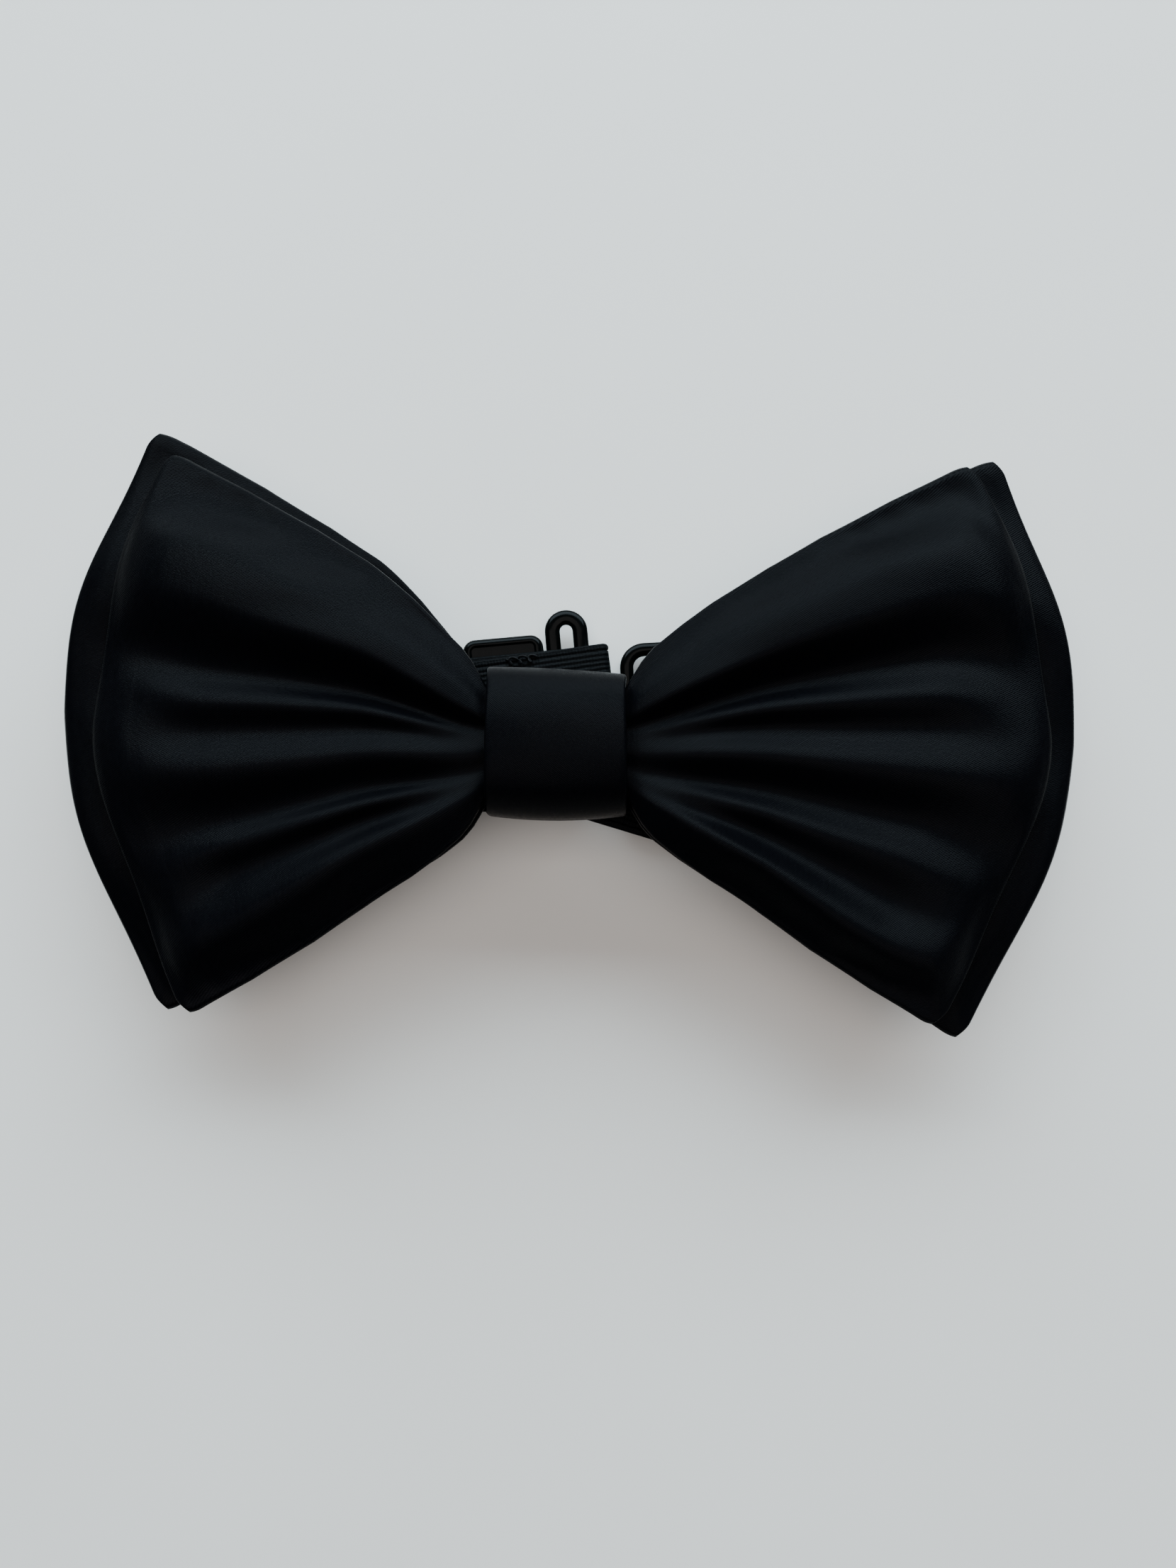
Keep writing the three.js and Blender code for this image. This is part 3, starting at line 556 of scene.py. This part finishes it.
def webbing_strap(name, course, step=None):
    """A strap with woven ribs across it and a rolled edge on each side. Returns it and its flat length."""
    bends, length, heading = strap_bends(course, step)
    ribs = round(length * MM / RIB_PITCH)
    along = np.linspace(0, length, 4 * ribs + 1)
    reach = np.array([0, 2.4, 4.8, 6.2, 6.45, 6.55, 6.65, 6.8, 7.05, 7.25, 7.4, 7.47, 7.5])
    side = np.concatenate([-reach[:0:-1], reach])
    distance = np.abs(side)
    half = WEB_THICK / 2 / MM
    bead = distance > 6.6
    roll = half * np.sqrt(np.clip(1 - ((distance - 7.05) / 0.46) ** 2, 0.1, 1)) + 0.02
    body = np.where(bead, roll, half - 0.05)
    lean = np.where(bead, (distance - 6.6) * 2.6, 0)
    wave = 0.5 - 0.5 * np.cos(2 * math.pi * along[:, None] * MM / RIB_PITCH + lean[None, :])
    depth = body[None, :] - RIB_DEPTH / MM * wave * np.where(distance > 7.45, 0.3, 1)[None, :]
    lengthwise, crosswise = np.meshgrid(along, side, indexing="ij")
    upper = np.stack([lengthwise, crosswise, depth], -1)
    lower = upper[:, ::-1].copy()
    lower[..., 2] *= -1
    ring = np.concatenate([upper, lower], 1)
    place = fold_points(ring.reshape(-1, 3), bends)
    cos, sin = math.cos(heading), math.sin(heading)
    x = place[:, 0] * cos - place[:, 1] * sin + course[0][0]
    y = place[:, 0] * sin + place[:, 1] * cos + course[0][1]
    z = place[:, 2] + course[1][2]
    rings = (np.stack([x, y, z], 1) * MM + np.array([ZERO.x, ZERO.y, 0])).reshape(ring.shape)
    return loft(name, rings, uvs=ring[..., :2] * MM), length * MM


# ---- stitches ----
def stitch_path(length, legs, low, high):
    """A thread that runs along one face, dives through a hole, runs along the other face, and comes back."""
    path = []
    pitch = length / (legs - 1)
    for i in range(legs):
        x = -length / 2 + i * pitch
        ends = (low, high) if i % 2 == 0 else (high, low)
        path += [(x, ends[0]), (x, ends[0] + (ends[1] - ends[0]) * 0.5), (x, ends[1])]
        if i < legs - 1:
            path.append((x + pitch / 2, ends[1]))
    return np.array(path)


def smooth_path(points, steps):
    """More points along a path, with its corners eased."""
    points = np.asarray(points, float)
    fine = np.linspace(0, len(points) - 1, (len(points) - 1) * steps + 1)
    dense = np.stack([np.interp(fine, np.arange(len(points)), points[:, k]) for k in range(3)], 1)
    for _ in range(3):
        dense[1:-1] = (dense[:-2] + 2 * dense[1:-1] + dense[2:]) / 4
    return dense


def seam(name, source, legs, slope):
    """A row of stitches where the frame has one."""
    low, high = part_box(source)
    middle = (low + high) / 2
    length = math.hypot(high.x - low.x, high.y - low.y) - THREAD
    path = stitch_path(length, legs, low.z + THREAD / 2, high.z - THREAD / 2)
    x, y = path[:, 0] * math.cos(slope) + middle.x, path[:, 0] * math.sin(slope) + middle.y
    points = np.stack([x, y, path[:, 1]], 1)
    return loft(name, tube_rings(smooth_path(points, 5), THREAD * 0.46, 8))


def loose_thread(name):
    """The caught end of a thread that loops over the strap's upper edge, beside the hook."""
    share = np.linspace(0, 1, 90)
    wind = 2 * math.pi * 3.1 * share
    x = -6.6 + 3.7 * share + 0.45 * np.sin(wind)
    y = 11.0 + 0.5 * share + 0.42 * np.cos(wind + 0.6)
    z = 7.28 + 0.35 * np.sin(math.pi * share) * (0.5 + 0.5 * np.sin(1.7 * wind))
    path = np.stack([x, y, z], 1) * MM + np.array([ZERO.x, ZERO.y, 0])
    return loft(name, tube_rings(path, 0.14 * MM, 8))


# ---- moulded hardware, in millimetres with the pivot bar at the origin, then placed ----
def placed(points, origin, slope, mirrored=False):
    points = np.asarray(points, float) * MM
    flip = -1 if mirrored else 1
    x, y = points[..., 0] * flip, points[..., 1]
    cos, sin = math.cos(slope), math.sin(slope)
    z = points[..., 2] + origin.z
    return np.stack([x * cos - y * sin + origin.x, x * sin + y * cos + origin.y, z], -1)


def rod_ring(width, length, corner, shift, rod=1.75, thick=1.1, bar=1.1):
    """Rounded rectangle of flattened rod, with a thin round pivot bar at x = 0."""
    inside_x, inside_y = width - rod, length - rod
    bend = min(corner - rod / 2, inside_x / 2)
    path = []

    def turn(x, y, start):
        for angle in np.linspace(start, start + math.pi / 2, 12):
            path.append((x + bend * math.cos(angle), y + bend * math.sin(angle), angle, rod))

    turn(inside_x - bend, inside_y / 2 - bend, 0)
    turn(bend, inside_y / 2 - bend, math.pi / 2)
    end = WEB_WIDTH / 2 / MM + 0.3
    for y, size in ((end + 0.4, rod), (end + 0.15, (rod + bar) / 2), (end, bar), (-end, bar),
                    (-end - 0.15, (rod + bar) / 2), (-end - 0.4, rod)):
        path.append((0, y - shift, math.pi, size))
    turn(bend, bend - inside_y / 2, math.pi)
    turn(inside_x - bend, bend - inside_y / 2, 1.5 * math.pi)
    around = 2 * math.pi * (np.arange(20) + 0.5) / 20
    rings = []
    for x, y, angle, size in path:
        out = size / 2 * np.cos(around)
        ring = [x + out * math.cos(angle), y + shift + out * math.sin(angle), thick / 2 * np.sin(around)]
        rings.append(np.stack(ring, 1))
    return np.array(rings)


def hook_tongue(reach, curl, thick, width):
    """A flat bar that curls under itself, with rounded long edges."""
    path = [(3.6, 0.15), (reach - 0.6, 0.15)]
    for angle in np.linspace(math.pi / 2, -math.pi / 2, 18):
        path.append((reach + curl * math.cos(angle), 0.15 - curl + curl * math.sin(angle)))
    path += [(4.95, 0.15 - 2 * curl), (4.85, 0.17 - 2 * curl)]
    path = np.array(path)
    direction = np.gradient(path, axis=0)
    direction /= np.linalg.norm(direction, axis=1)[:, None]
    around = 2 * math.pi * (np.arange(24) + 0.5) / 24
    across = width / 2 * np.sign(np.sin(around)) * np.abs(np.sin(around)) ** 0.25
    face = thick / 2 * np.sign(np.cos(around)) * np.abs(np.cos(around)) ** 0.4
    rings = []
    for (x, z), (dx, dz) in zip(path, direction):
        rings.append(np.stack([x - dz * face, HOOK_RING["shift"] + across, z + dx * face], 1))
    rings[-1] = rings[-1] * (1, 0.93, 1)
    return np.array(rings)


def boolean(obj, other, operation):
    modifier = obj.modifiers.new("cut", "BOOLEAN")
    modifier.operation = operation
    modifier.object = other
    modifier.solver = "EXACT"
    bpy.context.view_layer.objects.active = obj
    bpy.ops.object.modifier_apply(modifier=modifier.name)
    bpy.data.objects.remove(other)


def shade_by_angle(obj, degrees=40):
    bpy.context.view_layer.objects.active = obj
    obj.select_set(True)
    bpy.ops.object.shade_smooth_by_angle(angle=math.radians(degrees))
    obj.select_set(False)


def hook_piece():
    ring = loft("moulded_hook", placed(rod_ring(**HOOK_RING), HOOK_PIVOT, RUN_SLOPE), closed=True)
    tongue = loft("tongue", placed(hook_tongue(**TONGUE), HOOK_PIVOT, RUN_SLOPE))
    boolean(ring, tongue, "UNION")
    return ring


def eye_piece():
    rings = placed(rod_ring(**EYE_RING), EYE_PIVOT, EYE_SLOPE, mirrored=True)
    return loft("moulded_eye", rings, closed=True)


def box_mesh(name, x, y, z, origin, slope):
    corners = np.array([(a, b, c) for a in x for b in y for c in z], float)
    faces = [(0, 1, 3, 2), (4, 6, 7, 5), (0, 4, 5, 1), (2, 3, 7, 6), (0, 2, 6, 4), (1, 5, 7, 3)]
    return add_mesh(name, placed(corners, origin, slope), faces)


def slider_piece(width, length, height, corner, passage, floor, to_hook):
    """Two end walls, a centre bar under the webbing, a rail over it on each side, and a bevelled rim.

    Cut from a block: the webbing's passage, the floor beside the bar, and the slot between the rails.
    """
    origin = Vector((HOOK_PIVOT.x, HOOK_PIVOT.y, 0)) - RUN_AXIS * (to_hook * MM)
    rings = []
    profile = [(0.45, 0.0), (0.12, 0.12), (0, 0.4), (0, height - 0.75), (0.1, height - 0.35),
               (0.42, height - 0.05), (0.75, height), (0.95, height - 0.02), (1.15, height - 0.22)]
    for inset, z in profile:
        ring = []
        for k, (sx, sy) in enumerate(((1, 1), (-1, 1), (-1, -1), (1, -1))):
            radius = max(corner - inset, 0.35)
            slip = max(0.35 - (corner - inset), 0)
            x, y = sx * (width / 2 - corner - slip), sy * (length / 2 - corner - slip)
            for angle in np.linspace(k * math.pi / 2, (k + 1) * math.pi / 2, 9):
                ring.append((x + radius * math.cos(angle), y + radius * math.sin(angle), z))
        rings.append(ring)
    body = convex_stack("moulded_slider", placed(rings, origin, RUN_SLOPE))
    half, top, far = passage / 2, height - floor, width
    cuts = [((-far, far), (floor, top)), ((-far, -1.3), (-1, floor + 0.1)), ((1.3, far), (-1, floor + 0.1)),
            ((-2.6, 2.6), (top - 0.1, height + 1))]
    for x, z in cuts:
        boolean(body, box_mesh("cut", x, (-half, half), z, origin, RUN_SLOPE), "DIFFERENCE")
    return body


def convex_stack(name, rings):
    """Rings stacked in a pile, closed by one flat face at each end."""
    rings = np.asarray(rings)
    count, size = rings.shape[:2]
    faces = []
    for row in range(count - 1):
        here, after = row * size, (row + 1) * size
        faces += [(here + i, here + (i + 1) % size, after + (i + 1) % size, after + i) for i in range(size)]
    faces.append(tuple(range(size))[::-1])
    faces.append(tuple((count - 1) * size + i for i in range(size)))
    return add_mesh(name, rings.reshape(-1, 3), faces)


# ---- materials ----
ONE_WAVE = 0.3183  # scale of a wave texture that gives about one wave per unit


def new_material(name, colour, roughness, **inputs):
    material = bpy.data.materials.new(name)
    material.use_nodes = True
    shader = material.node_tree.nodes["Principled BSDF"]
    shader.inputs["Base Color"].default_value = (*colour, 1)
    shader.inputs["Roughness"].default_value = roughness
    for key, value in inputs.items():
        shader.inputs[key.replace("_", " ")].default_value = value
    return material, material.node_tree, shader


def node(tree, kind, inputs=None, **settings):
    made = tree.nodes.new(kind)
    for key, value in settings.items():
        setattr(made, key, value)
    for key, value in (inputs or {}).items():
        if isinstance(value, bpy.types.NodeSocket):
            tree.links.new(value, made.inputs[key])
        else:
            made.inputs[key].default_value = value
    return made


def math_node(tree, operation, first, second):
    return node(tree, "ShaderNodeMath", {0: first, 1: second}, operation=operation).outputs[0]


def scaled_uv(tree, x, y, turn=0.0):
    source = node(tree, "ShaderNodeUVMap", uv_map="weave").outputs[0]
    placing = {"Vector": source, "Scale": (x, y, 1), "Rotation": (0, 0, turn)}
    return node(tree, "ShaderNodeMapping", placing).outputs[0]


def noise_value(tree, place, scale=1.0, detail=3.0):
    texture = node(tree, "ShaderNodeTexNoise", {"Vector": place, "Scale": scale, "Detail": detail})
    return texture.outputs["Fac"]


def object_noise(tree, scale, detail=3.0):
    return noise_value(tree, node(tree, "ShaderNodeTexCoord").outputs["Object"], scale, detail)


def map_range(tree, value, low, high, **limits):
    inputs = {"Value": value, "To Min": low, "To Max": high}
    inputs.update({key.replace("_", " "): limit for key, limit in limits.items()})
    return node(tree, "ShaderNodeMapRange", inputs).outputs[0]


def base_ramp(tree, shader, value, dark, light):
    """Base colour between two tones."""
    ramp = node(tree, "ShaderNodeValToRGB", {"Fac": value})
    ramp.color_ramp.elements[0].color = (*dark, 1)
    ramp.color_ramp.elements[1].color = (*light, 1)
    tree.links.new(ramp.outputs[0], shader.inputs["Base Color"])


def add_bump(tree, shader, height, strength, distance):
    """Relief too fine for the mesh, on the shader and on its gloss."""
    bump = node(tree, "ShaderNodeBump", {"Height": height, "Strength": strength, "Distance": distance})
    tree.links.new(bump.outputs[0], shader.inputs["Normal"])
    tree.links.new(bump.outputs[0], shader.inputs["Coat Normal"])


def satin_material():
    """Black satin: fine floats of thread under a soft gloss, a little uneven in gloss and colour."""
    material, tree, shader = new_material("black_satin", (0.001, 0.001, 0.0015), 0.32,
                                          Specular_IOR_Level=0.01, Coat_Weight=0.027, Coat_Roughness=0.26)
    twill = {"Vector": scaled_uv(tree, 1 / TWILL_UNIT, 1 / TWILL_UNIT, 0.9), "Scale": 1.6,
             "Distortion": 3.0, "Detail": 3.0, "Detail Scale": 2.0}
    ribs = node(tree, "ShaderNodeTexWave", twill, wave_type="BANDS", bands_direction="X").outputs["Fac"]
    floats = noise_value(tree, scaled_uv(tree, 2600, 900))
    weave = math_node(tree, "ADD", ribs, floats)
    add_bump(tree, shader, weave, 0.4, 0.05 * MM)
    cloud = noise_value(tree, scaled_uv(tree, 90, 150), detail=4.0)
    rough = map_range(tree, cloud, 0.26, 0.36)
    grain = map_range(tree, floats, -0.05, 0.06, From_Min=0.3, From_Max=0.7)
    tree.links.new(math_node(tree, "ADD", rough, grain), shader.inputs["Roughness"])
    base_ramp(tree, shader, weave, (0.0003, 0.0003, 0.0005), (0.0015, 0.0016, 0.0022))
    return material


def webbing_material():
    """Ribbed webbing: round yarns side by side across each rib."""
    material, tree, shader = new_material("ribbed_webbing", (0.002, 0.002, 0.003), 0.42,
                                          Specular_IOR_Level=0.01, Coat_Weight=0.035, Coat_Roughness=0.35)
    yarns = {"Vector": scaled_uv(tree, 1 / RIB_PITCH, 1 / YARN_PITCH), "Scale": ONE_WAVE, "Distortion": 0.4}
    across = node(tree, "ShaderNodeTexWave", yarns, wave_type="BANDS", bands_direction="Y").outputs["Fac"]
    fibre = noise_value(tree, scaled_uv(tree, 2200, 5200))
    add_bump(tree, shader, math_node(tree, "ADD", across, fibre), 0.7, 0.1 * MM)
    base_ramp(tree, shader, fibre, (0.0008, 0.0010, 0.0012), (0.0030, 0.0036, 0.0042))
    return material


def plastic_material():
    """Glossy moulded nylon with faint flow marks and handling scuffs."""
    material, tree, shader = new_material("black_nylon", (0.0007, 0.0010, 0.0010), 0.2,
                                          Specular_IOR_Level=0.02, Coat_Weight=0.065, Coat_Roughness=0.13)
    scuff = map_range(tree, object_noise(tree, 900), 0.16, 0.34, From_Min=0.35, From_Max=0.75)
    tree.links.new(scuff, shader.inputs["Roughness"])
    add_bump(tree, shader, object_noise(tree, 420, 2.0), 0.12, 0.1 * MM)
    return material


def thread_material():
    material, tree, shader = new_material("black_thread", (0.002, 0.0022, 0.0026), 0.42,
                                          Specular_IOR_Level=0.06)
    add_bump(tree, shader, object_noise(tree, 9000), 0.5, 0.05 * MM)
    return material


def interlining_material():
    """Dull non-woven: matted fibres."""
    material, tree, shader = new_material("non_woven", (0.05, 0.05, 0.055), 0.95)
    fibres = object_noise(tree, 5200, 6.0)
    add_bump(tree, shader, fibres, 0.8, 0.1 * MM)
    base_ramp(tree, shader, fibres, (0.03, 0.03, 0.033), (0.09, 0.09, 0.095))
    return material


def floor_material():
    material, tree, shader = new_material("pale_floor", (0.72, 0.70, 0.66), 0.7)
    base_ramp(tree, shader, object_noise(tree, 14, 5.0), (0.68, 0.66, 0.62), (0.76, 0.74, 0.70))
    return material


def finish_piece(obj, material, slot, body, *nodes):
    obj.data.materials.clear()
    obj.data.materials.append(material)
    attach(obj, body)
    if nodes:
        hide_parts(*nodes)


# ---- the tie ----
def build_tie():
    satin, webbing, thread = satin_material(), webbing_material(), thread_material()
    lining, plastic = interlining_material(), plastic_material()

    for name, bow in (("front", FRONT_BOW), ("back", BACK_BOW)):
        cover = bow_surface(f"{name}_bow", bow)
        finish_piece(cover, satin, "satin", "tie", f"{name}_bow_cover")
        core = bow_mesh(f"{name}_bow_lining", *bow_points(shrunk(bow), 40, 48))
        finish_piece(core, lining, "interlining", "tie", f"{name}_bow_interlining")

    band = wrapped_band("knot_wrap", BAND_HALF, 0.0, BAND_THICK, BAND_CROWN)
    finish_piece(band, satin, "satin", "tie", "knot_band")
    band_lining = wrapped_band("knot_wrap_lining", LINING_HALF, LINING_GROW, LINING_THICK, BAND_CROWN, 64)
    finish_piece(band_lining, lining, "interlining", "tie", "knot_band_interlining")
    finish_piece(binding_coil("waist_binding"), thread, "thread", "tie", "waist_binding_thread")

    left, right = strap_courses()
    for name, course, step in (("left", left, None), ("right", right, EYE_STEP)):
        strap, length = webbing_strap(f"{name}_webbing", course, step)
        finish_piece(strap, webbing, "webbing", "tie", f"neck_strap_{name}")

    quarter = math.pi / 2
    seams = [("closing_stitches", "knot_closing_stitches", 9, 0),
             ("strap_stitches", "strap_to_knot_stitches", 6, 0),
             ("tail_stitches", "strap_tail_stitches", 7, RUN_SLOPE + quarter),
             ("bar_tack", "eye_bar_tack", 8, EYE_SLOPE + quarter)]
    for name, source, legs, slope in seams:
        finish_piece(seam(name, source, legs, slope), thread, "thread", "tie", source)
    finish_piece(loose_thread("loose_thread"), thread, "thread", "tie")

    finish_piece(slider_piece(**SLIDER), plastic, "plastic", "slider", "slider")
    finish_piece(hook_piece(), plastic, "plastic", "hook", "hook")
    finish_piece(eye_piece(), plastic, "plastic", "eye", "eye")
    for name in ("moulded_slider", "moulded_hook", "moulded_eye"):
        shade_by_angle(bpy.data.objects[name])


# ---- studio ----
def build_studio():
    corners = [(-1.5, -1.5, 0), (1.5, -1.5, 0), (1.5, 1.5, 0), (-1.5, 1.5, 0)]
    floor = add_mesh("floor", corners, [(0, 1, 2, 3)])
    floor.data.materials.append(floor_material())
    world = bpy.data.worlds.new("studio")
    world.use_nodes = True
    world.node_tree.nodes["Background"].inputs["Color"].default_value = (0.80, 0.86, 0.95, 1)
    world.node_tree.nodes["Background"].inputs["Strength"].default_value = 0.10
    bpy.context.scene.world = world
    add_light("window", (0.03, 0.78, 0.52), (1.7, 0.6), 38, (0.72, 0.89, 1.0))
    add_light("ceiling", (0.0, -0.08, 1.25), (1.5, 0.85), 11, (1.0, 0.93, 0.90))


def add_light(name, place, size, power, colour):
    light = bpy.data.lights.new(name, "AREA")
    light.shape = "RECTANGLE"
    light.size, light.size_y = size
    light.energy = power
    light.color = colour
    obj = bpy.data.objects.new(name, light)
    obj.location = place
    obj.rotation_euler = (Vector(place) - ZERO).to_track_quat("Z", "Y").to_euler()
    bpy.context.scene.collection.objects.link(obj)


def build_camera():
    """Nearly straight down over the knot, a little from the wearer's chin side."""
    data = bpy.data.cameras.new("camera")
    data.lens = 27
    data.sensor_fit = "VERTICAL"
    data.sensor_height = 36
    data.clip_start = 0.005
    camera = bpy.data.objects.new("camera", data)
    camera.location = ZERO + Vector((3.6, -18.0, 150.9)) * MM
    camera.rotation_euler = (math.radians(90 - 84.5), 0, 0)
    bpy.context.scene.collection.objects.link(camera)
    bpy.context.scene.camera = camera


build_camera()
build_studio()
build_tie()
